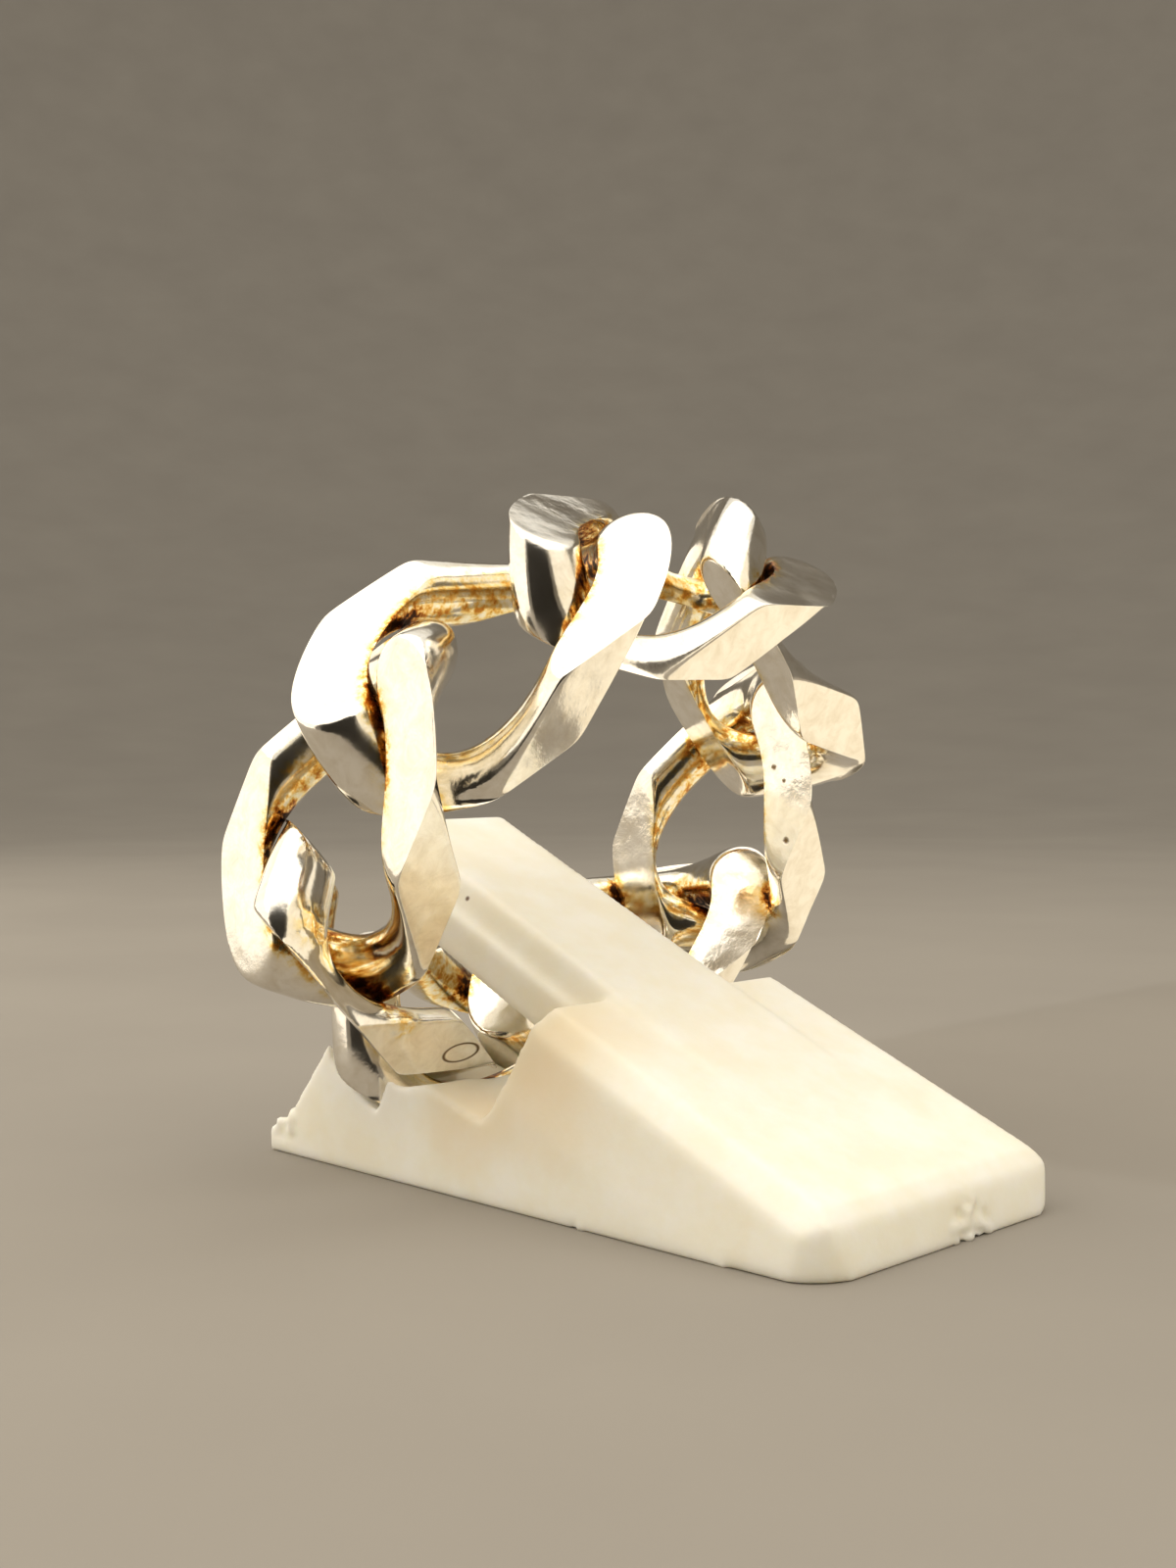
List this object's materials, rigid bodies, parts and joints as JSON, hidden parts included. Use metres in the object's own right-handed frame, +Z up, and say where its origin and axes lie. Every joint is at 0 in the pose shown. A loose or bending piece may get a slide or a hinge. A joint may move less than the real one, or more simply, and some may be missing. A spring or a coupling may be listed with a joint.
{
  "type": "chain link ring on display stand",
  "caption": "Finger ring made of interlocked, ground curb chain links, sitting on the tongue of a plain wedge-shaped display stand.",
  "frame": {"origin": "middle of the bounding box's bottom, on the surface that the stand rests on", "axes": "+X down the stand towards its low nose, +Y across the stand, +Z up"},
  "size_m": [0.0308, 0.0302, 0.0284],
  "materials": {
    "silver": "polished silver, tarnished in the recesses",
    "plastic": "plain moulded, slightly satin"
  },
  "bodies": {
    "root": {"link_1": "silver", "link_2": "silver", "link_3": "silver", "link_4": "silver", "link_5": "silver", "link_6": "silver", "link_7": "silver", "link_8": "silver", "display_stand": "plastic"}
  },
  "joints": []
}
